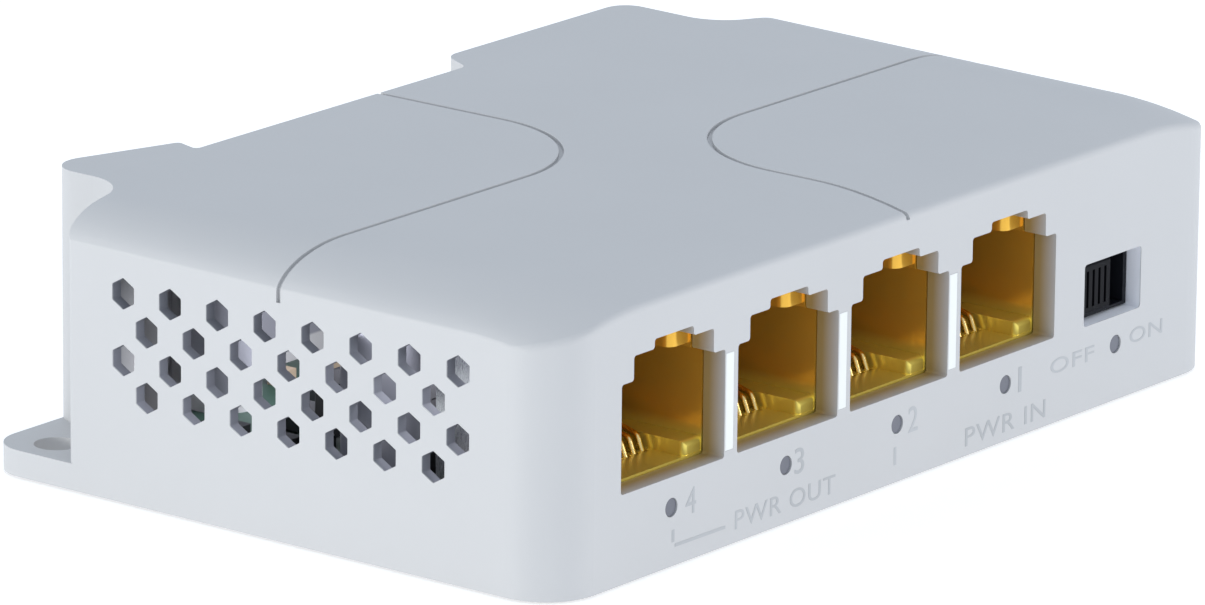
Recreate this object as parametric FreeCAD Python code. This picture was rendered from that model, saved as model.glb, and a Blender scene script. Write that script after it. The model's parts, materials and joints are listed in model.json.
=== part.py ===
"""Four-port PoE extender: one powered RJ45 input, three powered outputs, in a white moulded case.

Millimetres, +Z up.  The port face looks towards -Y and the vent fields towards -X and +X.
The parts are drawn from the corner where the left side meets the port face; the last step moves
the origin to the middle of the footprint, on the surface that the case stands on.
"""
import FreeCAD
import Part
import math
import os

Vector = FreeCAD.Vector

# ---------------------------------------------------------------- case
CASE_W = 84.4            # over the two sides
CASE_D = 50.6            # port face to the recessed middle of the back
CASE_H = 22.0
WALL = 2.0
CORNER_R = 4.5           # front corners, and the hollow corners over the ears, from above
TOP_EDGE_R = 0.6         # rounding of the top's edge

SHOULDER_DROP = 3.1      # the top rolls down to each side by this much
SHOULDER_FRONT_W = 10.4  # width of that roll at the port face
SHOULDER_TAPER = 0.115   # it narrows by this much per millimetre towards the back
SHOULDER_OVER = 0.1      # the roll runs this far past the side, so that it meets it at an angle
FRONT_FALL_R = 35.0      # the top also falls towards the port face, on this radius
FRONT_FALL_D = 9.0

BACK_BLOCK_D = 53.9      # port face to the back of the right rear block
LEFT_BLOCK_D = 56.85     # where the slanted back of the left rear block would meet its side
NOTCH_W = 8.2            # stepped rear corners, over the ears
NOTCH_Y = 46.9
RIGHT_NOTCH_Y = 42.4     # the right one reaches further forward

EAR_T = 2.1
EAR_BACK = 55.1
EAR_R = 3.2
EAR_HOLE_R = 1.75
EAR_HOLE_Y = 50.8

ORIGIN_Y = 27.93         # half way between the port face and the rearmost point

GROOVE_W = 0.4
GROOVE_DEPTH = 0.3
GROOVE_BEND_R = 12.0
GROOVE_CENTRE = (42.0, 25.6)
GROOVE_OFFSET = 0.6      # each groove stands this far off the lines through that centre
GROOVE_SIDE_Z = 18.4     # where the grooves end, on the side and on the port face
GROOVE_FRONT_Z = 20.4

VENT_WALL = 1.0          # the walls are thinned from inside round the vents
VENT_THIN_Y = (5.2, 44.8)
VENT_THIN_Z = (5.6, 18.2)
VENT_FLAT = 2.15         # hexagon, across flats
VENT_PITCH = 4.592
VENT_BACK_Y = 41.3
VENT_ROWS_Z = (16.35, 13.74, 11.16, 8.64)
VENTS_LONG_ROW = 8

# ---------------------------------------------------------------- base, board, screws
BASE_T = 1.2
REBATE_IN = 1.0
FIT = 0.1
BOARD_Z0 = 2.55
BOARD_T = 1.2
BOARD_Z = BOARD_Z0 + BOARD_T
BOSS_R = 3.0
SCREW_R = 1.3
SCREW_HEAD_R = 2.5
SCREW_TOP = 10.5
BOSSES = ((5.6, 21.0), (78.3, 8.6), (15.4, 44.6), (69.0, 44.6))

# ---------------------------------------------------------------- ports
PORTS = 4
PORT_PITCH = 13.97
PORT_X = 13.85           # middle of the first port, number 4
OPEN_Z0 = 6.9
OPEN_STEPS = ((6.2, 15.3), (4.78, 17.2), (2.34, 17.95))   # half width, top
STEP_R = 0.25

JACK_Y = 2.1
JACK_D = 13.9
JACK_X0 = PORT_X - 7.25
JACK_X1 = PORT_X + (PORTS - 1) * PORT_PITCH + 7.25
JACK_TOP = 18.7
JACK_FLOOR = 7.1
JACK_FLOOR_T = 1.2
JACK_STEPS = ((6.12, 15.35), (4.7, 17.15), (2.3, 17.9))
CAVITY_D = 10.2          # from the jack's face to the contact block
SHIELD_T = 0.25

CONTACTS = 8
CONTACT_PITCH = 1.016
CONTACT_R = 0.23
CONTACT_FRONT_Y = 5.5
CONTACT_KNEE = (6.15, 8.15)
CONTACT_SLOPE = math.radians(15.0)
TAIL_Y = (13.4, 14.9)
TAIL_Z = 1.75

# ---------------------------------------------------------------- lamps and switch
LAMP_Z = 4.56
LAMP_HOLE_R = 0.74
LAMP_SHIFT = -0.12
SWITCH_LAMP_X = 70.25
PIPE_R = 0.7

WINDOW_X = (65.9, 73.5)
WINDOW_Z = (6.85, 11.85)
SWITCH_FACE_Y = 1.3
KNOB_X = (66.9, 70.8)
KNOB_Z = (7.35, 11.3)
KNOB_FACE_Y = 0.95
KNOB_TRAVEL = 2.0

STRIP_W = 0.95
STRIP_Z = (7.4, 14.9)
STRIP_T = 0.3


# ---------------------------------------------------------------- small helpers
def box(x0, x1, y0, y1, z0, z1):
    return Part.makeBox(x1 - x0, y1 - y0, z1 - z0, Vector(x0, y0, z0))


def rod(x, y, z, radius, length, axis):
    return Part.makeCylinder(radius, length, Vector(x, y, z), axis)


def upright(x, y, z0, z1, radius):
    return rod(x, y, z0, radius, z1 - z0, Vector(0, 0, 1))


def fuse(shapes):
    whole = shapes[0].multiFuse(list(shapes[1:])) if len(shapes) > 1 else shapes[0]
    return whole.removeSplitter()


def group(shapes):
    """Separate solids that share one node."""
    return Part.makeCompound(list(shapes))


def rounded_wire(corners, lift=lambda u, v: Vector(u, v, 0)):
    """Closed wire through (u, v, radius) corners; lift says which plane u and v lie in."""
    edges = []
    ends = []
    count = len(corners)
    for i in range(count):
        here = Vector(corners[i][0], corners[i][1], 0)
        before = Vector(corners[i - 1][0], corners[i - 1][1], 0) - here
        after = Vector(corners[(i + 1) % count][0], corners[(i + 1) % count][1], 0) - here
        before.normalize()
        after.normalize()
        radius = corners[i][2]
        if radius <= 0:
            ends.append((here, here, here))
            continue
        half = before.getAngle(after) / 2
        reach = radius / math.tan(half)
        middle = before + after
        middle.normalize()
        nearest = here + middle * (radius / math.sin(half) - radius)
        ends.append((here + before * reach, nearest, here + after * reach))
    for i in range(count):
        first, mid, last = ends[i]
        following = ends[(i + 1) % count][0]
        if (last - first).Length > 1e-6:
            edges.append(Part.Arc(*(lift(p.x, p.y) for p in (first, mid, last))).toShape())
        if (following - last).Length > 1e-6:
            edges.append(Part.LineSegment(lift(last.x, last.y), lift(following.x, following.y)).toShape())
    return Part.Wire(edges)


def extrude(wire, direction):
    return Part.Face(wire).extrude(direction)


def plate(corners, z0, z1):
    return extrude(rounded_wire(corners, lambda x, y: Vector(x, y, z0)), Vector(0, 0, z1 - z0))


def through_front(corners, y0, y1):
    """Prism along Y of an outline drawn in X and Z."""
    return extrude(rounded_wire(corners, lambda x, z: Vector(x, y0, z)), Vector(0, y1 - y0, 0))


def along_x(corners, x0, x1):
    """Prism along X of an outline drawn in Y and Z."""
    return extrude(rounded_wire(corners, lambda y, z: Vector(x0, y, z)), Vector(x1 - x0, 0, 0))


def port_centres():
    return [PORT_X + i * PORT_PITCH for i in range(PORTS)]


def stepped_outline(centre, floor, steps, radius):
    """The outline of an RJ45 opening: wide body, narrower latch channel, narrow latch notch."""
    corners = [(centre - steps[0][0], floor, radius)]
    for i, (half, top) in enumerate(steps):
        corners.append((centre - half, top, radius))
        if i + 1 < len(steps):
            corners.append((centre - steps[i + 1][0], top, radius))
    mirrored = [(2 * centre - x, z, r) for x, z, r in reversed(corners)]
    return corners + mirrored


# ---------------------------------------------------------------- the case's outer shape
def plan_corners():
    """The case seen from above, with its stepped rear corners and rear blocks."""
    left_in = NOTCH_W
    right_in = CASE_W - NOTCH_W
    return [
        (0, 0, CORNER_R),
        (CASE_W, 0, CORNER_R),
        (CASE_W, RIGHT_NOTCH_Y, 0.6),
        (right_in, RIGHT_NOTCH_Y, CORNER_R),
        (right_in + 0.4, BACK_BLOCK_D, 2.0),
        (53.9, BACK_BLOCK_D, 2.0),
        (52.2, CASE_D, 1.0),
        (19.3, CASE_D, 0.4),
        (20.0, 52.85, 0.4),
        (left_in, LEFT_BLOCK_D, 2.5),
        (left_in, NOTCH_Y, CORNER_R),
        (0, NOTCH_Y, 0.6),
    ]


def inset_plan(inset, z0, z1):
    """Prism of the plan outline, drawn in by inset."""
    face = Part.Face(rounded_wire(plan_corners(), lambda x, y: Vector(x, y, z0)))
    if inset > 0:
        face = face.makeOffset2D(-inset)
    return face.extrude(Vector(0, 0, z1 - z0))


def crown_section(y, inset):
    """The case's cross-section at y: flat on top, with a quarter ellipse rolling down at each side."""
    fall = max(0.0, FRONT_FALL_D - y)
    top = CASE_H - inset - fall ** 2 / (2 * FRONT_FALL_R)
    width = SHOULDER_FRONT_W - SHOULDER_TAPER * y
    low = top - (SHOULDER_DROP - inset)
    floor = -2.0
    left = Vector(width, y, low)
    right = Vector(CASE_W - width, y, low)
    reach = Vector(-(width + SHOULDER_OVER - inset), 0, 0)
    rise = Vector(0, 0, SHOULDER_DROP - inset)
    half = math.sqrt(0.5)
    corners = [left + reach, left + rise, right + rise, right - reach]
    middles = [left + (reach + rise) * half, right + (rise - reach) * half]
    rolls = []
    for start, middle, end, centre in ((corners[0], middles[0], corners[1], left),
                                       (corners[2], middles[1], corners[3], right)):
        rolls.append(elliptic_arc(start, middle, end, centre))
    base = [Vector(corners[3].x, y, floor), Vector(corners[0].x, y, floor)]
    return Part.Wire([
        rolls[0],
        Part.LineSegment(corners[1], corners[2]).toShape(),
        rolls[1],
        Part.LineSegment(corners[3], base[0]).toShape(),
        Part.LineSegment(base[0], base[1]).toShape(),
        Part.LineSegment(base[1], corners[0]).toShape(),
    ])


def elliptic_arc(start, middle, end, centre):
    """A quarter ellipse about centre, as an exact rational curve."""
    corner = start + end - centre
    curve = Part.BSplineCurve()
    weights = [1.0, math.sqrt(0.5), 1.0]
    curve.buildFromPolesMultsKnots([start, corner, end], [3, 3], [0.0, 1.0], False, 2, weights)
    return curve.toShape()


def loaf(inset):
    """Front and sides with the rounded top edge, running on past the back of the case."""
    reach = LEFT_BLOCK_D + 6
    plan = plate([(inset, inset, CORNER_R - inset), (CASE_W - inset, inset, CORNER_R - inset),
                  (CASE_W - inset, reach - 1, 0), (inset, reach - 1, 0)], 0, CASE_H + 1)
    front_stations = [-2.0, 0.75, 3.5, 6.25, FRONT_FALL_D]
    front = Part.makeLoft([crown_section(y, inset) for y in front_stations], True, False)
    rear = Part.makeLoft([crown_section(y, inset) for y in (FRONT_FALL_D, reach)], True, True)
    shape = plan.common(front).fuse(plan.common(rear))
    if inset > 0:
        return shape
    low = CASE_H - SHOULDER_DROP - FRONT_FALL_D ** 2 / (2 * FRONT_FALL_R) - 0.5
    rim = []
    for edge in shape.Edges:
        bounds = edge.BoundBox
        at_back = bounds.YMin > reach - 1.5
        on_seam = bounds.XMin > 1.0 and bounds.XMax < CASE_W - 1.0 and bounds.YLength > 2.0
        if bounds.ZMin > low and not at_back and not on_seam:
            rim.append(edge)
    return shape.makeFillet(TOP_EDGE_R, rim)


def case_body(inset):
    return loaf(inset).common(inset_plan(inset, 0, CASE_H + 1))


# ---------------------------------------------------------------- the upper housing
def ear(mirror):
    """A screw ear in a rear corner; its outer side is flush with the case's side."""
    root = (RIGHT_NOTCH_Y if mirror else NOTCH_Y) - 1
    corners = [(0, root, 0), (0, EAR_BACK, EAR_R), (NOTCH_W + 1, EAR_BACK, 0), (NOTCH_W + 1, root, 0)]
    solid = plate(corners, 0, EAR_T).cut(upright(EAR_R, EAR_HOLE_Y, -1, EAR_T + 1, EAR_HOLE_R))
    if mirror:
        solid = solid.mirror(Vector(CASE_W / 2, 0, 0), Vector(1, 0, 0))
    return solid


def groove_band(first, bend, last):
    """A flat band of the groove's width: straight, a quarter bend, straight."""
    start = bend + (first - bend).normalize() * GROOVE_BEND_R
    finish = bend + (last - bend).normalize() * GROOVE_BEND_R
    centre = start + finish - bend
    to_bend = (bend - centre).normalize()
    edges = []
    for radius in (GROOVE_BEND_R - GROOVE_W / 2, GROOVE_BEND_R + GROOVE_W / 2):
        a = centre + (start - centre).normalize() * radius
        b = centre + (finish - centre).normalize() * radius
        edges.append((first + (a - start), a, centre + to_bend * radius, b, last + (b - finish)))
    inner, outer = edges
    lines = [
        Part.LineSegment(inner[0], inner[1]), Part.Arc(inner[1], inner[2], inner[3]),
        Part.LineSegment(inner[3], inner[4]), Part.LineSegment(inner[4], outer[4]),
        Part.LineSegment(outer[4], outer[3]), Part.Arc(outer[3], outer[2], outer[1]),
        Part.LineSegment(outer[1], outer[0]), Part.LineSegment(outer[0], inner[0]),
    ]
    return extrude(Part.Wire([line.toShape() for line in lines]), Vector(0, 0, CASE_H))


def grooves():
    """Two L-shaped grooves, each round one quarter of the top, a half turn apart."""
    middle_x, middle_y = GROOVE_CENTRE
    rear = groove_band(Vector(middle_x - GROOVE_OFFSET, CASE_D + 2, GROOVE_SIDE_Z),
                       Vector(middle_x - GROOVE_OFFSET, middle_y + GROOVE_OFFSET, GROOVE_SIDE_Z),
                       Vector(-2, middle_y + GROOVE_OFFSET, GROOVE_SIDE_Z))
    front = groove_band(Vector(middle_x + GROOVE_OFFSET, -2, GROOVE_FRONT_Z),
                        Vector(middle_x + GROOVE_OFFSET, middle_y - GROOVE_OFFSET, GROOVE_FRONT_Z),
                        Vector(CASE_W + 2, middle_y - GROOVE_OFFSET, GROOVE_FRONT_Z))
    skin = loaf(0).cut(loaf(GROOVE_DEPTH))
    return [rear.common(skin), front.common(skin)]


def vent_centres(first):
    """(y, z) of every vent from the given column forward; short rows sit half a pitch off the long ones."""
    centres = []
    for row, z in enumerate(VENT_ROWS_Z):
        short = row % 2
        for i in range(first, VENTS_LONG_ROW - short):
            centres.append((VENT_BACK_Y - VENT_PITCH * (i + short / 2), z))
    return centres


def vent_tools(first, x0, x1):
    """Six-sided prisms from x0 to x1, one for each vent of a side."""
    radius = VENT_FLAT / math.sqrt(3)
    tools = []
    for y, z in vent_centres(first):
        corners = []
        for k in range(6):
            angle = math.radians(90 + 60 * k)
            corners.append((y + radius * math.cos(angle), z + radius * math.sin(angle), 0.15))
        tools.append(along_x(corners, x0, x1))
    return tools


def lamp_centres():
    return [x + LAMP_SHIFT for x in port_centres()] + [SWITCH_LAMP_X]


def front_tools():
    """Everything cut through, or into, the port face."""
    tools = [through_front(stepped_outline(x, OPEN_Z0, OPEN_STEPS, STEP_R), -1, WALL + 1)
             for x in port_centres()]
    tools += [rod(x, -1, LAMP_Z, LAMP_HOLE_R, WALL + 2, Vector(0, 1, 0)) for x in lamp_centres()]
    x0, x1 = WINDOW_X
    z0, z1 = WINDOW_Z
    tools.append(through_front([(x0, z0, 0.3), (x0, z1, 0.3), (x1, z1, 0.3), (x1, z0, 0.3)], -1, WALL + 1))
    gap = 0.02
    tools += [box(x0 - gap, x1 + gap, -1, STRIP_T + gap, STRIP_Z[0] - gap, STRIP_Z[1] + gap)
              for x0, x1 in strip_spans()]
    return tools


def upper_housing():
    outer = fuse([case_body(0), ear(False), ear(True)])
    rebate = inset_plan(REBATE_IN, -1, BASE_T + 0.05)
    shell = outer.cut(case_body(WALL)).cut(rebate)
    bosses = [upright(x, y, BOARD_Z, CASE_H - WALL + 0.3, BOSS_R) for x, y in BOSSES]
    pilots = [upright(x, y, BOARD_Z - 1, SCREW_TOP + 0.6, SCREW_R) for x, y in BOSSES]
    thin = [box(VENT_WALL, WALL + 0.1, *VENT_THIN_Y, *VENT_THIN_Z),
            box(CASE_W - WALL - 0.1, CASE_W - VENT_WALL, VENT_THIN_Y[0], RIGHT_NOTCH_Y - WALL - 0.1,
                *VENT_THIN_Z)]
    shell = fuse([shell.cut(group(thin))] + bosses)
    vents = vent_tools(0, -1, WALL + 1) + vent_tools(1, CASE_W - WALL - 1, CASE_W + 1)
    shell = shell.cut(group(pilots + vents + front_tools()))
    for groove in grooves():
        shell = shell.cut(groove)
    return largest_solid(shell)


def largest_solid(shape):
    solids = sorted(shape.Solids, key=lambda s: s.Volume)
    return solids[-1]


def strip_spans():
    """X from and to of the bright strips, one beside each of the first three openings."""
    spans = []
    for x in port_centres()[:-1]:
        x0 = x + OPEN_STEPS[0][0] + 0.13
        spans.append((x0, x0 + STRIP_W))
    return spans


def divider_strips():
    return group([box(x0, x1, 0, STRIP_T, *STRIP_Z) for x0, x1 in strip_spans()])


def light_pipes():
    """Lenses in the lamp holes, each with a flange behind the wall."""
    pipes = []
    for x in lamp_centres():
        lens = rod(x, 0.12, LAMP_Z, PIPE_R, 2.03, Vector(0, 1, 0))
        flange = rod(x, WALL + 0.02, LAMP_Z, 1.0, 0.35, Vector(0, 1, 0))
        pipes.append(lens.fuse(flange).removeSplitter())
    return group(pipes)


# ---------------------------------------------------------------- base plate and screws
def base_plate():
    sheet = inset_plan(REBATE_IN + FIT, 0, BASE_T)
    sheet = sheet.fuse([upright(x, y, BASE_T, BOARD_Z0, BOSS_R) for x, y in BOSSES]).removeSplitter()
    for x, y in BOSSES:
        sheet = sheet.cut(upright(x, y, -1, BOARD_Z0 + 1, SCREW_R + 0.2))
        sink = Part.makeCone(SCREW_HEAD_R + 0.15, SCREW_R + 0.1, 1.3, Vector(x, y, 0), Vector(0, 0, 1))
        sheet = sheet.cut(sink)
    return sheet


def case_screws():
    screws = []
    for x, y in BOSSES:
        head = Part.makeCone(SCREW_HEAD_R, SCREW_R, 1.25, Vector(x, y, 0.1), Vector(0, 0, 1))
        screw = head.fuse(upright(x, y, 0.5, SCREW_TOP, SCREW_R - 0.03)).removeSplitter()
        for angle in (0, 90):
            slot = box(-1.5, 1.5, -0.28, 0.28, 0, 0.85)
            slot.rotate(Vector(0, 0, 0), Vector(0, 0, 1), angle)
            slot.translate(Vector(x, y, 0))
            screw = screw.cut(slot)
        screws.append(screw)
    return group(screws)


# ---------------------------------------------------------------- circuit board
def circuit_board():
    corners = [(2.5, 2.5, 3.0), (81.9, 2.5, 3.0), (81.9, 39.7, 1.0), (73.0, 39.7, 1.0), (73.0, 47.9, 1.0),
               (11.4, 47.9, 1.0), (11.4, 44.0, 1.0), (2.5, 44.0, 1.0)]
    board = plate(corners, BOARD_Z0, BOARD_Z)
    holes = [upright(x, y, 0, 6, SCREW_R + 0.3) for x, y in BOSSES]
    for x in port_centres():
        for i in range(CONTACTS):
            holes.append(upright(x + contact_offset(i), TAIL_Y[i % 2], 0, 6, 0.4))
    for x0, x1, y0, y1 in shield_tabs():
        holes.append(box(x0 - 0.1, x1 + 0.1, y0 - 0.1, y1 + 0.1, 0, 6))
    for x in SWITCH_PINS_X:
        holes.append(upright(x, SWITCH_PIN_Y, 0, 6, 0.5))
    for x0, x1 in SWITCH_LEGS_X:
        holes.append(box(x0 - 0.1, x1 + 0.1, SWITCH_LEG_Y[0] - 0.1, SWITCH_LEG_Y[1] + 0.1, 0, 6))
    return board.cut(Part.makeCompound(holes))


# ---------------------------------------------------------------- jacks
def contact_offset(index):
    return (index - (CONTACTS - 1) / 2) * CONTACT_PITCH


def rail(centre, side):
    """Raised rail beside the springs, against the side wall, its front end rounded."""
    inner = centre + side * 4.1
    outer = centre + side * (JACK_STEPS[0][0] + 0.1)
    bar = box(min(inner, outer), max(inner, outer), JACK_Y + 0.05, JACK_Y + CAVITY_D, JACK_FLOOR - 0.2,
              JACK_FLOOR + 1.1)
    front = [e.BoundBox.YMax < JACK_Y + 0.06 for e in bar.Edges]
    high = [e.BoundBox.ZMin > JACK_FLOOR + 1 for e in bar.Edges]
    inside = [abs(e.BoundBox.XMin - inner) < 0.01 and abs(e.BoundBox.XMax - inner) < 0.01 for e in bar.Edges]
    rounded = []
    for edge, is_front, is_high, is_inside in zip(bar.Edges, front, high, inside):
        if is_front + is_high + is_inside == 2 and not (is_inside and edge.BoundBox.YLength > 5):
            rounded.append(edge)
    return bar.makeFillet(0.45, rounded)


def latch_shoulder(centre, side):
    """One of the two shoulders that a plug's latch snaps behind."""
    inner = centre + side * 2.45
    outer = centre + side * (JACK_STEPS[1][0] + 0.2)
    bar = box(min(inner, outer), max(inner, outer), JACK_Y + 0.15, JACK_Y + 1.9, 15.75,
              JACK_STEPS[1][1] + 0.2)
    edge = [e for e in bar.Edges
            if e.BoundBox.YMax < JACK_Y + 0.16 and e.BoundBox.ZLength > 1
            and abs(e.BoundBox.XMin - inner) < 0.01]
    return bar.makeFillet(0.8, edge)


def jack_housing():
    """Four-port ganged jack moulding, open behind each cavity for its contact block."""
    body = box(JACK_X0, JACK_X1, JACK_Y, JACK_Y + JACK_D, BOARD_Z, JACK_TOP)
    tools = []
    extras = []
    floor_low = JACK_FLOOR - JACK_FLOOR_T
    for x in port_centres():
        half = JACK_STEPS[0][0]
        outline = stepped_outline(x, JACK_FLOOR, JACK_STEPS, 0.12)
        tools.append(through_front(outline, JACK_Y - 1, JACK_Y + CAVITY_D))
        tools.append(box(x - half, x + half, JACK_Y + CAVITY_D - 0.01, JACK_Y + JACK_D + 1,
                         BOARD_Z - 1, 15.35))
        tools.append(box(x - 5.4, x + 5.4, JACK_Y - 1, JACK_Y + CAVITY_D, BOARD_Z - 1, floor_low))
        for i in range(CONTACTS):
            slot_x = x + contact_offset(i)
            tools.append(box(slot_x - 0.3, slot_x + 0.3, CONTACT_FRONT_Y - 0.4, CONTACT_FRONT_Y + 1.0,
                             floor_low + 0.3, JACK_FLOOR + 0.1))
        for side in (-1, 1):
            extras += [rail(x, side), latch_shoulder(x, side)]
    body = body.cut(Part.makeCompound(tools))
    return largest_solid(fuse([body] + extras))


def contact_path(x, tail_y):
    """A spring: up from the board, forward and down along the cavity, then into its slot in the floor."""
    knee_y, knee_z = CONTACT_KNEE
    bend_z = knee_z + (tail_y - knee_y) * math.tan(CONTACT_SLOPE)
    points = [Vector(x, tail_y, TAIL_Z), Vector(x, tail_y, bend_z), Vector(x, knee_y, knee_z),
              Vector(x, CONTACT_FRONT_Y, JACK_FLOOR - 0.55)]
    radii = [0.7, 0.6]
    edges = []
    last = points[0]
    for i, radius in enumerate(radii, start=1):
        back = (points[i - 1] - points[i]).normalize()
        ahead = (points[i + 1] - points[i]).normalize()
        half = back.getAngle(ahead) / 2
        reach = radius / math.tan(half)
        middle = (back + ahead).normalize()
        start = points[i] + back * reach
        finish = points[i] + ahead * reach
        nearest = points[i] + middle * (radius / math.sin(half) - radius)
        edges.append(Part.LineSegment(last, start).toShape())
        edges.append(Part.Arc(start, nearest, finish).toShape())
        last = finish
    edges.append(Part.LineSegment(last, points[-1]).toShape())
    return Part.Wire(edges)


def port_contacts(centre):
    springs = []
    for i in range(CONTACTS):
        x = centre + contact_offset(i)
        path = contact_path(x, TAIL_Y[i % 2])
        ring = Part.Wire(Part.makeCircle(CONTACT_R, Vector(x, TAIL_Y[i % 2], TAIL_Z), Vector(0, 0, 1)))
        springs.append(path.makePipeShell([ring], True, False))
    return group(springs)


def contact_blocks():
    """Slotted blocks behind the cavities; each slot lets one spring down to the board."""
    blocks = []
    half = JACK_STEPS[0][0] - 0.08
    y0 = JACK_Y + CAVITY_D + 0.08
    y1 = JACK_Y + JACK_D
    for x in port_centres():
        slots = []
        for i in range(CONTACTS):
            slot_x = x + contact_offset(i)
            slots.append(box(slot_x - 0.3, slot_x + 0.3, y0 - 1, TAIL_Y[i % 2] + 0.3, 0, 14))
        blocks.append(box(x - half, x + half, y0, y1, BOARD_Z + 0.05, 15.25).cut(Part.makeCompound(slots)))
    return group([largest_solid(b) for b in blocks])


def shield_tabs():
    """(x0, x1, y0, y1) of the four tabs that solder the shield to the board."""
    gap = 0.05
    left = (JACK_X0 - gap - SHIELD_T, JACK_X0 - gap)
    right = (JACK_X1 + gap, JACK_X1 + gap + SHIELD_T)
    return [(x0, x1, y, y + 1.8) for x0, x1 in (left, right) for y in (5.0, 11.5)]


def jack_shield():
    """Folded sheet cover over the jack's sides, back and top."""
    gap = 0.05
    x0 = JACK_X0 - gap
    x1 = JACK_X1 + gap
    y1 = JACK_Y + JACK_D + gap
    z1 = JACK_TOP + gap
    outer = box(x0 - SHIELD_T, x1 + SHIELD_T, JACK_Y + 0.3, y1 + SHIELD_T, BOARD_Z, z1 + SHIELD_T)
    inner = box(x0, x1, JACK_Y - 1, y1, BOARD_Z - 1, z1)
    tabs = [box(a, b, c, d, TAIL_Z, BOARD_Z + 0.5) for a, b, c, d in shield_tabs()]
    return fuse([outer.cut(inner)] + tabs)


# ---------------------------------------------------------------- slide switch
SWITCH_X = (65.0, 74.4)
SWITCH_Z = (6.5, 12.1)
SWITCH_BACK = 6.2
SLOT_GAP = 0.1
SWITCH_PINS_X = (67.7, 69.7, 71.7)
SWITCH_PIN_Y = 4.9
SWITCH_LEGS_X = ((64.7, 65.0), (74.4, 74.7))
SWITCH_LEG_Y = (3.2, 5.4)


def slide_switch_body():
    block = box(*SWITCH_X, WALL + 0.1, SWITCH_BACK, *SWITCH_Z)
    nose = box(WINDOW_X[0] + 0.15, WINDOW_X[1] - 0.15, SWITCH_FACE_Y, WALL + 0.2, WINDOW_Z[0] + 0.15,
               WINDOW_Z[1] - 0.15)
    slot = box(KNOB_X[0] - SLOT_GAP, KNOB_X[1] + KNOB_TRAVEL + SLOT_GAP, 0, 5.4, KNOB_Z[0] - SLOT_GAP,
               KNOB_Z[1] + SLOT_GAP)
    return fuse([block, nose]).cut(slot)


def slide_switch_frame():
    """Sheet cover over the switch's top and back, with a leg at each end."""
    t = SHIELD_T
    x0, x1 = SWITCH_X
    top = box(x0 - 0.3, x1 + 0.3, 2.4, SWITCH_BACK + t, SWITCH_Z[1], SWITCH_Z[1] + t)
    back = box(x0 - 0.3, x1 + 0.3, SWITCH_BACK, SWITCH_BACK + t, SWITCH_Z[0], SWITCH_Z[1] + t)
    ends = [box(a, b, 2.4, SWITCH_BACK + t, SWITCH_Z[0], SWITCH_Z[1] + t) for a, b in SWITCH_LEGS_X]
    legs = [box(a, b, *SWITCH_LEG_Y, TAIL_Z, SWITCH_Z[0] + 0.5) for a, b in SWITCH_LEGS_X]
    return fuse([top, back] + ends + legs)


def slide_switch_terminals():
    return group([box(x - 0.25, x + 0.25, SWITCH_PIN_Y - 0.25, SWITCH_PIN_Y + 0.25, TAIL_Z, SWITCH_Z[0])
                  for x in SWITCH_PINS_X])


def slide_switch_knob():
    """The knob at its left stop: a ribbed block that stands a little proud of the switch's face."""
    x0, x1 = KNOB_X
    knob = box(x0, x1, KNOB_FACE_Y, 3.6, *KNOB_Z)
    front = [e for e in knob.Edges if e.BoundBox.YMax < KNOB_FACE_Y + 0.01]
    knob = knob.makeFillet(0.2, front)
    ribs = 4
    step = (x1 - x0) / (ribs + 1)
    for i in range(1, ribs + 1):
        x = x0 + i * step
        knob = knob.cut(box(x - 0.15, x + 0.15, 0, KNOB_FACE_Y + 0.2, KNOB_Z[0] + 0.5, KNOB_Z[1] - 0.5))
    return knob


def slide_switch_wiper():
    """Bent contact clip on the back of the knob."""
    middle = (KNOB_X[0] + KNOB_X[1]) / 2
    mid_z = (KNOB_Z[0] + KNOB_Z[1]) / 2
    strap = box(middle - 1.5, middle + 1.5, 3.6, 3.8, mid_z - 0.9, mid_z + 0.9)
    arms = [box(middle + side * 1.4 - 0.1, middle + side * 1.4 + 0.1, 3.7, 5.2, mid_z - 0.6, mid_z + 0.6)
            for side in (-1, 1)]
    return fuse([strap] + arms)


# ---------------------------------------------------------------- lamps and board parts
def lamp(x):
    """Side-looking indicator lamp: a block with a low dome towards the light pipe."""
    block = box(x - 1.0, x + 1.0, 2.75, 4.1, BOARD_Z, BOARD_Z + 1.6)
    dome = rod(x, 2.5, LAMP_Z, 0.6, 0.25, Vector(0, 1, 0))
    return block.fuse(dome).removeSplitter()


def gull_wing(x, y, angle, width, reach, height):
    """A chip lead that leaves a body's side, drops to the board and ends in a foot."""
    t = 0.15
    corners = [(0, height), (reach / 2, height), (reach / 2, t), (reach, t), (reach, 0),
               (reach / 2 - t, 0), (reach / 2 - t, height - t), (0, height - t)]
    points = [Vector(u, -width / 2, v) for u, v in corners]
    lead = extrude(Part.makePolygon(points + points[:1]), Vector(0, width, 0))
    lead.rotate(Vector(0, 0, 0), Vector(0, 0, 1), angle)
    lead.translate(Vector(x, y, BOARD_Z))
    return lead


def side_leads(x, y, size_x, size_y, per_side, pitch, height, reach, faces):
    """Leads along the named faces of a chip, each face given as the angle it looks at."""
    leads = []
    for angle in faces:
        along_y = angle in (0, 180)
        half = (size_x if along_y else size_y) / 2
        turn = math.radians(angle)
        for i in range(per_side):
            shift = (i - (per_side - 1) / 2) * pitch
            px = x + half * round(math.cos(turn)) + (0 if along_y else shift)
            py = y + half * round(math.sin(turn)) + (shift if along_y else 0)
            leads.append(gull_wing(px, py, angle, pitch * 0.45, reach, height))
    return leads


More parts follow.
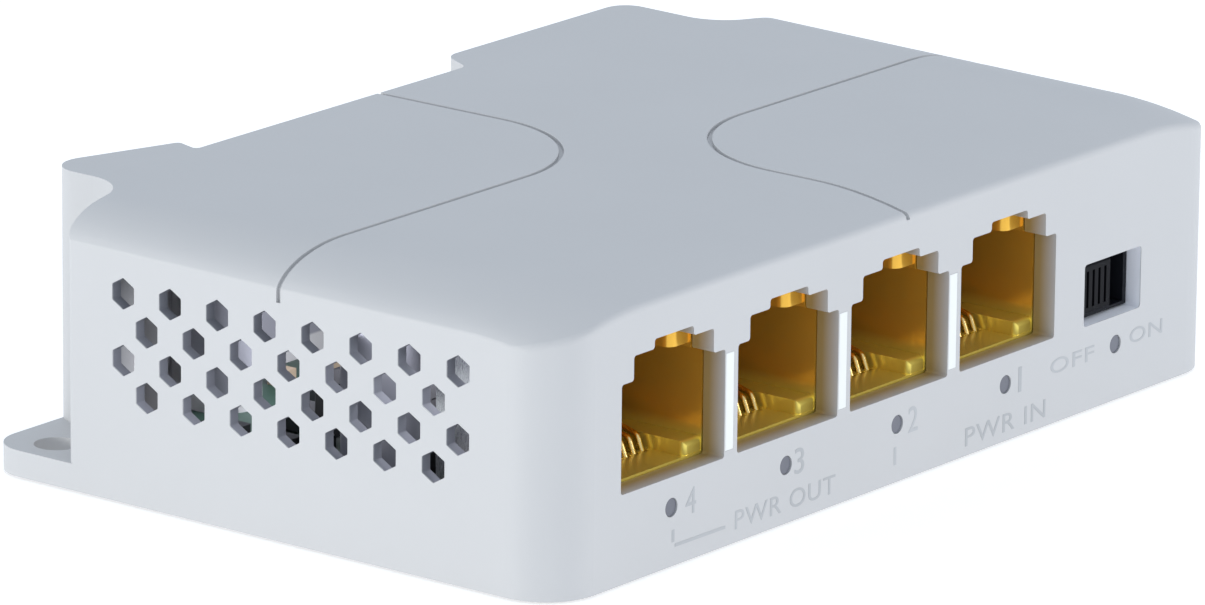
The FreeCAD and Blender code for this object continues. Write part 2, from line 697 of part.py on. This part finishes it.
def chip_body(x, y, size_x, size_y, height, lift=0.1):
    """Moulded package with its edges bevelled above and below, and a first-pin dimple."""
    body = box(x - size_x / 2, x + size_x / 2, y - size_y / 2, y + size_y / 2,
               BOARD_Z + lift, BOARD_Z + height)
    upright_edges = [e for e in body.Edges if e.BoundBox.ZLength > height / 2]
    body = body.makeChamfer(min(size_x, size_y) * 0.04, upright_edges)
    dimple_r = min(size_x, size_y) * 0.09
    inset = dimple_r * 2.5
    return body.cut(upright(x - size_x / 2 + inset, y - size_y / 2 + inset, BOARD_Z + height - 0.1,
                            BOARD_Z + height + 1, dimple_r))


MAGNETICS_Y = 25.2
MAGNETICS_SIZE = (7.0, 12.6, 5.6)
SWITCH_CHIP = (46.5, 38.8, 10.0, 10.0)
PD_CHIP = (74.0, 18.6, 3.9, 4.9)
PSE_CHIP = (25.0, 38.6, 10.2, 4.4)
BRIDGES = ((66.4, 19.8), (66.4, 26.0))
BRIDGE_SIZE = (4.6, 4.2, 2.4)
TRANSISTORS = ((7.0, 33.0), (7.0, 38.0), (14.6, 36.4))
TRANSISTOR_SIZE = (3.9, 3.4, 1.4)
DIODES = ((33.8, 34.4), (33.8, 37.8), (33.8, 41.2))
SUPPRESSORS = ((66.4, 30.6), (66.4, 33.8))
DIODE_SIZE = (4.2, 2.5, 2.2)
INDUCTOR = (75.6, 28.6, 9.0)
CAPACITORS = ((77.6, 36.4, 3.15, 11.5), (67.2, 38.6, 3.15, 10.8))
CRYSTAL = (57.6, 38.6)
FUSE = (75.2, 13.2)
SMALL_CAPACITORS = ((38.2, 34.8), (38.2, 37.6), (38.2, 40.4), (38.2, 43.2), (53.4, 33.2), (53.4, 45.4),
                    (28.2, 44.6), (22.4, 44.6), (61.4, 34.4), (61.4, 36.6), (70.9, 23.4), (70.2, 14.2))
SMALL_RESISTORS = ((43.0, 46.6), (45.4, 46.6), (47.8, 46.6), (50.2, 46.6), (20.8, 33.2), (23.6, 33.2),
                   (26.4, 33.2), (29.2, 33.2), (61.2, 42.4), (61.2, 44.4), (78.8, 22.2), (78.8, 16.4))


def magnetics_modules():
    sx, sy, h = MAGNETICS_SIZE
    return group([chip_body(x, MAGNETICS_Y, sx, sy, h, 0.25) for x in port_centres()])


def magnetics_leads():
    sx, sy, _ = MAGNETICS_SIZE
    leads = []
    for x in port_centres():
        leads += side_leads(x, MAGNETICS_Y, sx, sy, 8, 1.27, 1.6, 1.3, (0, 180))
    return group(leads)


def switch_chip_leads():
    x, y, sx, sy = SWITCH_CHIP
    return group(side_leads(x, y, sx, sy, 16, 0.5, 0.8, 1.0, (0, 90, 180, 270)))


def power_chip_leads():
    x, y, sx, sy = PD_CHIP
    leads = side_leads(x, y, sx, sy, 4, 1.27, 0.8, 1.0, (0, 180))
    x, y, sx, sy = PSE_CHIP
    return group(leads + side_leads(x, y, sx, sy, 8, 1.27, 0.8, 1.0, (90, 270)))


def bridge_leads():
    sx, sy, _ = BRIDGE_SIZE
    leads = []
    for x, y in BRIDGES:
        leads += side_leads(x, y, sx, sy, 2, 2.5, 1.0, 1.0, (0, 180))
    return group(leads)


def packages(places, size):
    return group([chip_body(x, y, *size) for x, y in places])


def end_straps(places, size):
    """Solder straps folded under both ends of a moulded diode."""
    straps = []
    sx, sy, _ = size
    for x, y in places:
        for side in (-1, 1):
            end = x + side * (sx / 2 + 0.3)
            inner = x + side * sx / 2
            straps.append(box(min(inner, end), max(inner, end), y - sy * 0.3, y + sy * 0.3, BOARD_Z,
                              BOARD_Z + 1.0))
    return group(straps)


def power_inductor():
    x, y, size = INDUCTOR
    core = box(x - size / 2, x + size / 2, y - size / 2, y + size / 2, BOARD_Z + 0.2, BOARD_Z + 4.6)
    core = core.makeChamfer(1.2, [e for e in core.Edges if e.BoundBox.ZLength > 4])
    return core.cut(upright(x, y, BOARD_Z + 4.2, BOARD_Z + 6, 3.2))


def inductor_terminals():
    x, y, size = INDUCTOR
    return group([box(x - 1.5, x + 1.5, y + side * (size / 2 - 0.6) - 0.6, y + side * (size / 2 - 0.6) + 0.6,
                      BOARD_Z, BOARD_Z + 0.2) for side in (-1, 1)])


def capacitor_cans():
    """Electrolytic cans with a rolled groove near the base and a scored vent on top."""
    cans = []
    for x, y, r, h in CAPACITORS:
        can = upright(x, y, BOARD_Z + 0.3, BOARD_Z + h, r)
        can = can.makeFillet(0.5, [e for e in can.Edges if e.BoundBox.ZMin > BOARD_Z + h - 0.01])
        roll = Part.makeTorus(r + 0.15, 0.4, Vector(x, y, BOARD_Z + 1.7), Vector(0, 0, 1))
        can = can.cut(roll)
        for angle in (0, 90):
            score = box(-r * 0.7, r * 0.7, -0.1, 0.1, 0, 1)
            score.rotate(Vector(0, 0, 0), Vector(0, 0, 1), angle)
            score.translate(Vector(x, y, BOARD_Z + h - 0.15))
            can = can.cut(score)
        cans.append(can)
    return group(cans)


def capacitor_leads():
    leads = []
    for x, y, r, _ in CAPACITORS:
        for side in (-1, 1):
            leads.append(upright(x + side * r * 0.5, y, BOARD_Z, BOARD_Z + 0.3, 0.3))
    return group(leads)


def crystal_can():
    x, y = CRYSTAL
    corners = [(x - 2.3, y - 5.5, 2.2), (x + 2.3, y - 5.5, 2.2),
               (x + 2.3, y + 5.5, 2.2), (x - 2.3, y + 5.5, 2.2)]
    rim = [(x - 2.7, y - 5.9, 2.6), (x + 2.7, y - 5.9, 2.6), (x + 2.7, y + 5.9, 2.6), (x - 2.7, y + 5.9, 2.6)]
    return fuse([plate(rim, BOARD_Z + 0.1, BOARD_Z + 0.6), plate(corners, BOARD_Z + 0.6, BOARD_Z + 3.4)])


def input_fuse():
    x, y = FUSE
    return box(x - 3.0, x + 3.0, y - 1.3, y + 1.3, BOARD_Z + 0.05, BOARD_Z + 2.4)


def small_blocks(places, size_x, size_y, height):
    return group([box(x - size_x / 2, x + size_x / 2, y - size_y / 2, y + size_y / 2,
                      BOARD_Z, BOARD_Z + height)
                  for x, y in places])


# ---------------------------------------------------------------- all nodes
def nodes():
    x, y, sx, sy = SWITCH_CHIP
    parts = {
        "upper_housing": upper_housing(),
        "base_plate": base_plate(),
        "case_screws": case_screws(),
        "divider_strips": divider_strips(),
        "light_pipes": light_pipes(),
        "circuit_board": circuit_board(),
        "jack_housing": jack_housing(),
        "jack_shield": jack_shield(),
        "contact_blocks": contact_blocks(),
        "slide_switch_body": slide_switch_body(),
        "slide_switch_frame": slide_switch_frame(),
        "slide_switch_terminals": slide_switch_terminals(),
        "slide_switch_knob": slide_switch_knob(),
        "slide_switch_wiper": slide_switch_wiper(),
        "port_lamps": group([lamp(c) for c in lamp_centres()[:PORTS]]),
        "switch_lamp": lamp(SWITCH_LAMP_X),
        "magnetics_modules": magnetics_modules(),
        "magnetics_leads": magnetics_leads(),
        "switch_chip": chip_body(x, y, sx, sy, 1.5),
        "switch_chip_leads": switch_chip_leads(),
        "pd_controller_chip": chip_body(*PD_CHIP, 1.5),
        "pse_controller_chip": chip_body(*PSE_CHIP, 1.5),
        "power_chip_leads": power_chip_leads(),
        "bridge_rectifiers": packages(BRIDGES, BRIDGE_SIZE),
        "bridge_rectifier_leads": bridge_leads(),
        "output_transistors": packages(TRANSISTORS, TRANSISTOR_SIZE),
        "blocking_diodes": packages(DIODES, DIODE_SIZE),
        "surge_suppressors": packages(SUPPRESSORS, DIODE_SIZE),
        "diode_straps": end_straps(DIODES + SUPPRESSORS, DIODE_SIZE),
        "power_inductor": power_inductor(),
        "inductor_terminals": inductor_terminals(),
        "capacitor_cans": capacitor_cans(),
        "capacitor_leads": capacitor_leads(),
        "crystal_can": crystal_can(),
        "input_fuse": input_fuse(),
        "chip_capacitors": small_blocks(SMALL_CAPACITORS, 2.0, 1.25, 1.1),
        "chip_resistors": small_blocks(SMALL_RESISTORS, 1.6, 0.8, 0.45),
    }
    for i, centre in enumerate(port_centres()):
        parts["port_%d_contacts" % (PORTS - i)] = port_contacts(centre)
    return parts


def main():
    os.makedirs("parts", exist_ok=True)
    for name, shape in nodes().items():
        shape.translate(Vector(-CASE_W / 2, -ORIGIN_Y, 0))
        shape.exportStep(os.path.join("parts", name + ".step"))


main()
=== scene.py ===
import bpy
import json
import math
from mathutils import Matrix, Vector


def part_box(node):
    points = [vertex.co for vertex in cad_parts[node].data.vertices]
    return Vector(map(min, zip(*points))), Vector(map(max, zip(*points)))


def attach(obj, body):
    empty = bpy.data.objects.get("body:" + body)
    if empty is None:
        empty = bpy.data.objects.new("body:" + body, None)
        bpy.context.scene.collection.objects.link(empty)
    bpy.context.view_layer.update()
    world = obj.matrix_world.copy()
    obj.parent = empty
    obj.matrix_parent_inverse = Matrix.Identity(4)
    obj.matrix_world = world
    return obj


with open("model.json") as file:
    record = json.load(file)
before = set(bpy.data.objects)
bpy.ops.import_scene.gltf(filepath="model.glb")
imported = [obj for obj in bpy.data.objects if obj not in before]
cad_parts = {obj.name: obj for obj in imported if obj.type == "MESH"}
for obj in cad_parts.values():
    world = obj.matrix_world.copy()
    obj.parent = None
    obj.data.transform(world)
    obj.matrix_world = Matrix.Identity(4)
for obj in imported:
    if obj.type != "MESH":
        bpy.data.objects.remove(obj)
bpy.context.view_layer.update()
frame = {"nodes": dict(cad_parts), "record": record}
NODES = frame["nodes"]
MM = 0.001
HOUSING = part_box("upper_housing")
LEFT = HOUSING[0][0]
FACE_Y = HOUSING[0][1]

# sockets of the colour Mix node, which Blender finds only by number
MIX_FIRST, MIX_SECOND, MIX_RESULT = 6, 7, 2


# ---------------------------------------------------------------- node material helpers
class Maker:
    """Builds one procedural material; every pattern is measured in the shared frame, in metres."""

    def __init__(self, name):
        self.material = bpy.data.materials.new(name)
        self.material.use_nodes = True
        self.tree = self.material.node_tree
        self.tree.nodes.clear()
        output = self.tree.nodes.new("ShaderNodeOutputMaterial")
        self.shader = self.tree.nodes.new("ShaderNodeBsdfPrincipled")
        self.link(self.shader.outputs["BSDF"], output.inputs["Surface"])
        self.coords = self.tree.nodes.new("ShaderNodeTexCoord").outputs["Object"]

    def link(self, source, target):
        self.tree.links.new(source, target)

    def set(self, **values):
        for key, value in values.items():
            self.shader.inputs[key.replace("_", " ")].default_value = value

    def noise(self, scale, detail=2.0, roughness=0.5, stretch=(1, 1, 1)):
        node = self.tree.nodes.new("ShaderNodeTexNoise")
        node.inputs["Scale"].default_value = scale
        node.inputs["Detail"].default_value = detail
        node.inputs["Roughness"].default_value = roughness
        if stretch != (1, 1, 1):
            mapping = self.tree.nodes.new("ShaderNodeMapping")
            mapping.inputs["Scale"].default_value = stretch
            self.link(self.coords, mapping.inputs["Vector"])
            self.link(mapping.outputs["Vector"], node.inputs["Vector"])
        else:
            self.link(self.coords, node.inputs["Vector"])
        return node.outputs["Fac"]

    def ramp(self, factor, stops):
        node = self.tree.nodes.new("ShaderNodeValToRGB")
        elements = node.color_ramp.elements
        while len(elements) < len(stops):
            elements.new(0.5)
        for element, (place, colour) in zip(elements, stops):
            element.position = place
            element.color = (*colour, 1.0)
        self.link(factor, node.inputs["Fac"])
        return node.outputs["Color"]

    def mix(self, factor, first, second):
        node = self.tree.nodes.new("ShaderNodeMix")
        node.data_type = "RGBA"
        self.link(factor, node.inputs["Factor"])
        for value, socket in ((first, node.inputs[MIX_FIRST]), (second, node.inputs[MIX_SECOND])):
            if isinstance(value, tuple):
                socket.default_value = (*value, 1.0)
            else:
                self.link(value, socket)
        return node.outputs[MIX_RESULT]

    def span(self, factor, low, high):
        node = self.tree.nodes.new("ShaderNodeMapRange")
        node.inputs["To Min"].default_value = low
        node.inputs["To Max"].default_value = high
        self.link(factor, node.inputs["Value"])
        return node.outputs["Result"]

    def within(self, **spans):
        """1 inside the given (low, high, rise, fall) spans of x, y or z, in metres, 0 outside them."""
        place = self.tree.nodes.new("ShaderNodeSeparateXYZ")
        self.link(self.coords, place.inputs["Vector"])
        result = None
        for axis, (low, high, rise, fall) in spans.items():
            for start, end in ((low, low + rise), (high, high - fall)):
                edge = self.tree.nodes.new("ShaderNodeMapRange")
                edge.inputs["From Min"].default_value = start
                edge.inputs["From Max"].default_value = end
                self.link(place.outputs[axis.upper()], edge.inputs["Value"])
                part = edge.outputs["Result"]
                result = part if result is None else self.times(result, part)
        return result

    def times(self, first, second):
        node = self.tree.nodes.new("ShaderNodeMath")
        node.operation = "MULTIPLY"
        self.link(first, node.inputs[0])
        self.link(second, node.inputs[1])
        return node.outputs["Value"]

    def colour(self, socket):
        self.link(socket, self.shader.inputs["Base Color"])

    def rough(self, socket):
        self.link(socket, self.shader.inputs["Roughness"])

    def bump(self, height, distance, strength=0.5):
        node = self.tree.nodes.new("ShaderNodeBump")
        node.inputs["Distance"].default_value = distance
        node.inputs["Strength"].default_value = strength
        self.link(height, node.inputs["Height"])
        self.link(node.outputs["Normal"], self.shader.inputs["Normal"])


def tone(colour, gain):
    return tuple(min(1.0, c * gain) for c in colour)


def moulded(name, colour, roughness, grain=2600, depth=0.00002, strength=0.25, vary=0.04, **extra):
    """Moulded plastic: spark-eroded grain, faint cloudiness, slightly uneven gloss."""
    m = Maker(name)
    cloud = m.noise(60, 3, 0.6)
    m.colour(m.ramp(cloud, [(0.3, tone(colour, 1 - vary)), (0.7, tone(colour, 1 + vary))]))
    fine = m.noise(grain, 4, 0.65)
    m.rough(m.span(fine, roughness - 0.05, roughness + 0.07))
    m.bump(fine, depth, strength)
    m.set(**extra)
    return name, m.material


def metal(name, colour, roughness, stretch=(1, 1, 1)):
    """Sheet, wire or plated metal with fine drawing marks and faint tarnish."""
    m = Maker(name)
    marks = m.noise(1800, 3, 0.6, stretch)
    tarnish = m.noise(220, 4, 0.6)
    m.colour(m.ramp(tarnish, [(0.25, tone(colour, 0.92)), (0.75, tone(colour, 1.08))]))
    m.rough(m.span(marks, roughness - 0.06, roughness + 0.1))
    m.bump(marks, 0.000008, 0.3)
    m.set(Metallic=1.0)
    return name, m.material


# where light and shade are painted into the housing's white: (low, high, rise, fall) spans, in
# millimetres of the frame
FACE_MM = FACE_Y / MM
PORTS = {"x": (-36.0, 21.6, 0.2, 0.2), "y": (FACE_MM + 0.1, FACE_MM + 9.0, 1.4, 0.1),
         "z": (5.9, 18.8, 0.2, 0.2)}
SWITCH_WINDOW = {"x": (23.0, 32.0, 0.2, 0.2), "y": (FACE_MM + 0.02, FACE_MM + 9.0, 0.1, 0.1),
                 "z": (6.2, 12.4, 0.2, 0.2)}
INNER_WALLS = [{"x": (low, high, 0.05, 0.05), "y": (near, far, 0.2, 0.2), "z": (5.0, 18.2, 0.2, 0.2)}
               for low, high, near, far in ((-42.12, -33.0, -22.7, 17.0), (-33.0, 33.0, -18.9, 22.4),
                                            (33.0, 42.12, -22.7, 14.2))]
# painted amber reflection and shade inside the port openings
PAINTED_AMBER_REFLECTION = (0.40, 0.29, 0.12)
# painted shade on the inner walls seen through the vents
PAINTED_VENT_SHADE = (0.27, 0.275, 0.31)
# painted light on the walls and ledge of the switch window
PAINTED_SWITCH_LIGHT = (0.93, 0.94, 0.99)


def case_moulding(name, colour, roughness):
    """The housing's white with light and shade painted in: a painted amber reflection and shade inside
    the port openings, painted light round the switch window and painted shade on the inner walls seen
    through the vents."""
    m = Maker(name)
    cloud = m.noise(60, 3, 0.6)
    base = m.ramp(cloud, [(0.3, tone(colour, 0.99)), (0.7, tone(colour, 1.01))])
    # each span gets painted light or shade mixed into the white
    painted_light_tints = [(PORTS, PAINTED_AMBER_REFLECTION)] + [(walls, PAINTED_VENT_SHADE) for walls in INNER_WALLS] + [(SWITCH_WINDOW, PAINTED_SWITCH_LIGHT)]
    for spans, painted_tone in painted_light_tints:
        metres = {axis: tuple(value * MM for value in span) for axis, span in spans.items()}
        base = m.mix(m.within(**metres), base, painted_tone)
    m.colour(base)
    fine = m.noise(2600, 4, 0.65)
    m.rough(m.span(fine, roughness - 0.05, roughness + 0.07))
    m.bump(fine, 0.00002, 0.25)
    return name, m.material


def gold_toned(name, wall, floor, roughness):
    """Glossy gold-toned plastic with painted light making it lighter and yellower on the floor and rails
    of each cavity and painted shade making it browner on its walls.
    """
    m = Maker(name)
    cloud = m.noise(140, 3, 0.6)
    # painted shade: the browner colour of the cavity walls
    wall_shade_colour = m.ramp(cloud, [(0.3, tone(wall, 0.96)), (0.7, tone(wall, 1.04))])
    # painted light: the floor and rails below 9.2 mm take the lighter, yellower colour
    low = m.within(z=(0.0, 9.2 * MM, 0.1 * MM, 0.9 * MM))
    m.colour(m.mix(low, wall_shade_colour, floor))
    fine = m.noise(1200, 4, 0.65)
    m.rough(m.span(fine, roughness - 0.04, roughness + 0.06))
    m.bump(fine, 0.00002, 0.04)
    m.set(Metallic=0.62)
    return name, m.material


def paint(material, name):
    mesh = NODES[name].data
    mesh.materials.clear()
    mesh.materials.append(material)


# ---------------------------------------------------------------- materials
MATERIALS = dict((
    case_moulding("case_white", (0.56, 0.56, 0.565), 0.5),
    moulded("base_white", (0.555, 0.56, 0.56), 0.6, grain=1800, vary=0.015),
    # the strip between the ports is set far whiter than the case white: a painted highlight
    moulded("strip_white", (0.84, 0.86, 0.84), 0.2, grain=1200, strength=0.05, vary=0.01),
    moulded("lens_grey", (0.15, 0.155, 0.185), 0.22, grain=900, strength=0.08, vary=0.06),
    # painted shade on the cavity walls (first colour) and painted light on their floors and rails (second
    # colour)
    gold_toned("jack_amber", (0.90, 0.51, 0.065), (0.99, 0.80, 0.17), 0.22),
    moulded("black_plastic", (0.010, 0.011, 0.015), 0.45, Specular_IOR_Level=0.2),
    moulded("knob_black", (0.004, 0.004, 0.006), 0.45, Specular_IOR_Level=0.12),
    moulded("package_black", (0.03, 0.03, 0.033), 0.55, grain=3500),
    moulded("ferrite_grey", (0.09, 0.09, 0.095), 0.7, grain=2400, depth=0.00005, strength=0.5),
    moulded("lamp_white", (0.85, 0.84, 0.78), 0.35, grain=900),
    moulded("fuse_cream", (0.78, 0.74, 0.62), 0.4),
    moulded("ceramic_tan", (0.33, 0.26, 0.19), 0.45, grain=4000),
    moulded("resistor_black", (0.03, 0.03, 0.035), 0.3),
    moulded("board_green", (0.025, 0.055, 0.042), 0.4, grain=500, depth=0.00003),
    metal("screw_steel", (0.66, 0.66, 0.63), 0.3),
    metal("shield_steel", (0.72, 0.73, 0.74), 0.25, (1, 12, 1)),
    metal("contact_gold", (0.85, 0.62, 0.25), 0.2, (8, 1, 1)),
    metal("tinned", (0.74, 0.74, 0.72), 0.28),
    metal("wiper_brass", (0.80, 0.62, 0.30), 0.25, (1, 8, 1)),
    metal("can_aluminium", (0.80, 0.81, 0.82), 0.3, (1, 1, 10)),
    metal("crystal_steel", (0.76, 0.76, 0.75), 0.22),
    moulded("legend_grey", (0.45, 0.46, 0.475), 0.5, grain=3000, depth=0.000004, vary=0.08),
))

for part in frame["record"]["subparts"]:
    paint(MATERIALS[part["material_slot"]], part["node"])


# ---------------------------------------------------------------- printed marks on the port face
INK = 0.02 * MM


def mark(name, mesh):
    """Puts a printed mark on the case."""
    piece = bpy.data.objects.new(name, mesh)
    bpy.context.scene.collection.objects.link(piece)
    mesh.materials.clear()
    mesh.materials.append(MATERIALS["legend_grey"])
    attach(piece, "case")


def word(name, text, x, z):
    """Generic wording filling x (from, to) and z (bottom, top), in millimetres from the case's corner."""
    curve = bpy.data.curves.new(name, "FONT")
    curve.body = text
    curve.extrude = 0.5
    curve.resolution_u = 6
    curve.space_character = 1.08
    carrier = bpy.data.objects.new(name + "_outline", curve)
    bpy.context.scene.collection.objects.link(carrier)
    bpy.context.view_layer.update()
    mesh = bpy.data.meshes.new_from_object(carrier)
    bpy.data.objects.remove(carrier)
    xs = [v.co.x for v in mesh.vertices]
    ys = [v.co.y for v in mesh.vertices]
    wide = (x[1] - x[0]) / (max(xs) - min(xs))
    high = (z[1] - z[0]) / (max(ys) - min(ys))
    for vertex in mesh.vertices:
        across = LEFT + (x[0] + (vertex.co.x - min(xs)) * wide) * MM
        up = (z[0] + (vertex.co.y - min(ys)) * high) * MM
        vertex.co = (across, FACE_Y - (vertex.co.z + 0.5) * INK, up)
    mark(name, mesh)


def stroke(name, x0, z0, x1, z1, width):
    """A straight printed line between two points, in millimetres from the case's corner."""
    start = Vector((x0, z0))
    end = Vector((x1, z1))
    side = (end - start).orthogonal().normalized() * width / 2
    loop = [start + side, end + side, end - side, start - side]
    back = [(LEFT + p.x * MM, FACE_Y, p.y * MM) for p in loop]
    front = [(px, FACE_Y - INK, pz) for px, _, pz in back]
    faces = [(0, 1, 2, 3), (7, 6, 5, 4)]
    faces += [(i, i + 4, (i + 1) % 4 + 4, (i + 1) % 4) for i in range(4)]
    mesh = bpy.data.meshes.new(name)
    mesh.from_pydata(back + front, [], faces)
    mesh.validate()
    mark(name, mesh)


def legends():
    for number, x, wide in ((4, 15.45, 1.25), (3, 28.8, 1.15), (2, 43.1, 1.2), (1, 57.35, 0.4)):
        word("legend_digit_%d" % number, str(number), (x, x + wide), (3.55, 5.55))
    word("legend_outputs", "PWR OUT", (21.5, 33.9), (1.0, 2.45))
    word("legend_input", "PWR IN", (50.5, 61.0), (0.75, 2.2))
    word("legend_off", "OFF", (61.6, 67.4), (3.95, 5.15))
    word("legend_on", "ON", (72.2, 76.6), (4.1, 5.3))
    stroke("legend_tick_4", 13.97, 1.85, 13.97, 2.8, 0.3)
    stroke("legend_rule_4", 14.2, 1.55, 20.3, 1.5, 0.25)
    stroke("legend_tick_2", 41.45, 1.4, 41.45, 2.8, 0.3)


# ---------------------------------------------------------------- floor, lights, camera
def floor():
    mesh = bpy.data.meshes.new("floor")
    half = 6.0
    corners = [(-half, -half, 0), (half, -half, 0), (half, half, 0), (-half, half, 0)]
    mesh.from_pydata(corners, [], [(0, 1, 2, 3)])
    piece = bpy.data.objects.new("floor", mesh)
    bpy.context.scene.collection.objects.link(piece)
    m = Maker("floor_white")
    cloud = m.noise(4, 2)
    m.colour(m.ramp(cloud, [(0.3, (0.93, 0.93, 0.93)), (0.7, (0.95, 0.95, 0.95))]))
    m.set(Roughness=0.9, Emission_Color=(1.0, 1.0, 1.0, 1.0), Emission_Strength=0.38)
    mesh.materials.append(m.material)
    piece.location = (0, 0, -0.0002)


def soft_light(name, place, target, size, colour, power):
    data = bpy.data.lights.new(name, "AREA")
    data.shape = "RECTANGLE"
    data.size, data.size_y = size
    data.color = colour
    data.energy = power
    lamp = bpy.data.objects.new(name, data)
    lamp.location = place
    lamp.rotation_euler = (Vector(target) - Vector(place)).to_track_quat("-Z", "Y").to_euler()
    bpy.context.scene.collection.objects.link(lamp)
    return lamp


# weak lights behind the vents: place and size in metres, power in watts
INSIDE_LIGHTS = (((-0.022, 0.0, 0.0170), (0.012, 0.024), 0.013),
                 ((-0.0385, -0.013, 0.0165), (0.0025, 0.016), 0.0009))


def studio():
    floor()
    world = bpy.data.worlds.new("studio")
    world.use_nodes = True
    world.node_tree.nodes["Background"].inputs["Color"].default_value = (0.70, 0.77, 0.86, 1)
    world.node_tree.nodes["Background"].inputs["Strength"].default_value = 1.0
    bpy.context.scene.world = world
    target = (0, 0, 0.01)
    soft_light("left", (-1.8, 0.84, 0.24), target, (0.9, 0.4), (1.0, 0.98, 0.92), 13.5)
    soft_light("front", (0.84, -1.8, 0.34), target, (0.9, 0.5), (1.0, 0.97, 0.93), 8.8)
    for number, (place, size, power) in enumerate(INSIDE_LIGHTS):
        below = (place[0], place[1] + 0.0001, 0.0)
        inside = soft_light("inside_%d" % number, place, below, size, (0.92, 0.93, 1.0), power)
        inside.visible_camera = False
        inside.visible_glossy = False
    bpy.context.scene.view_settings.view_transform = "Standard"


# a long lens to the left of the port face and a little above it
LENS_MM = 292.117
CAMERA_PLACE = (-0.573687, -0.446773, 0.215715)
CAMERA_TURN_DEGREES = (74.12354, -0.54296, -51.87901)


def camera():
    data = bpy.data.cameras.new("camera")
    data.lens = LENS_MM
    data.sensor_width = 36.0
    data.clip_start = 0.05
    data.clip_end = 50.0
    piece = bpy.data.objects.new("camera", data)
    piece.location = CAMERA_PLACE
    piece.rotation_euler = tuple(math.radians(angle) for angle in CAMERA_TURN_DEGREES)
    bpy.context.scene.collection.objects.link(piece)
    bpy.context.scene.camera = piece


legends()
studio()
camera()
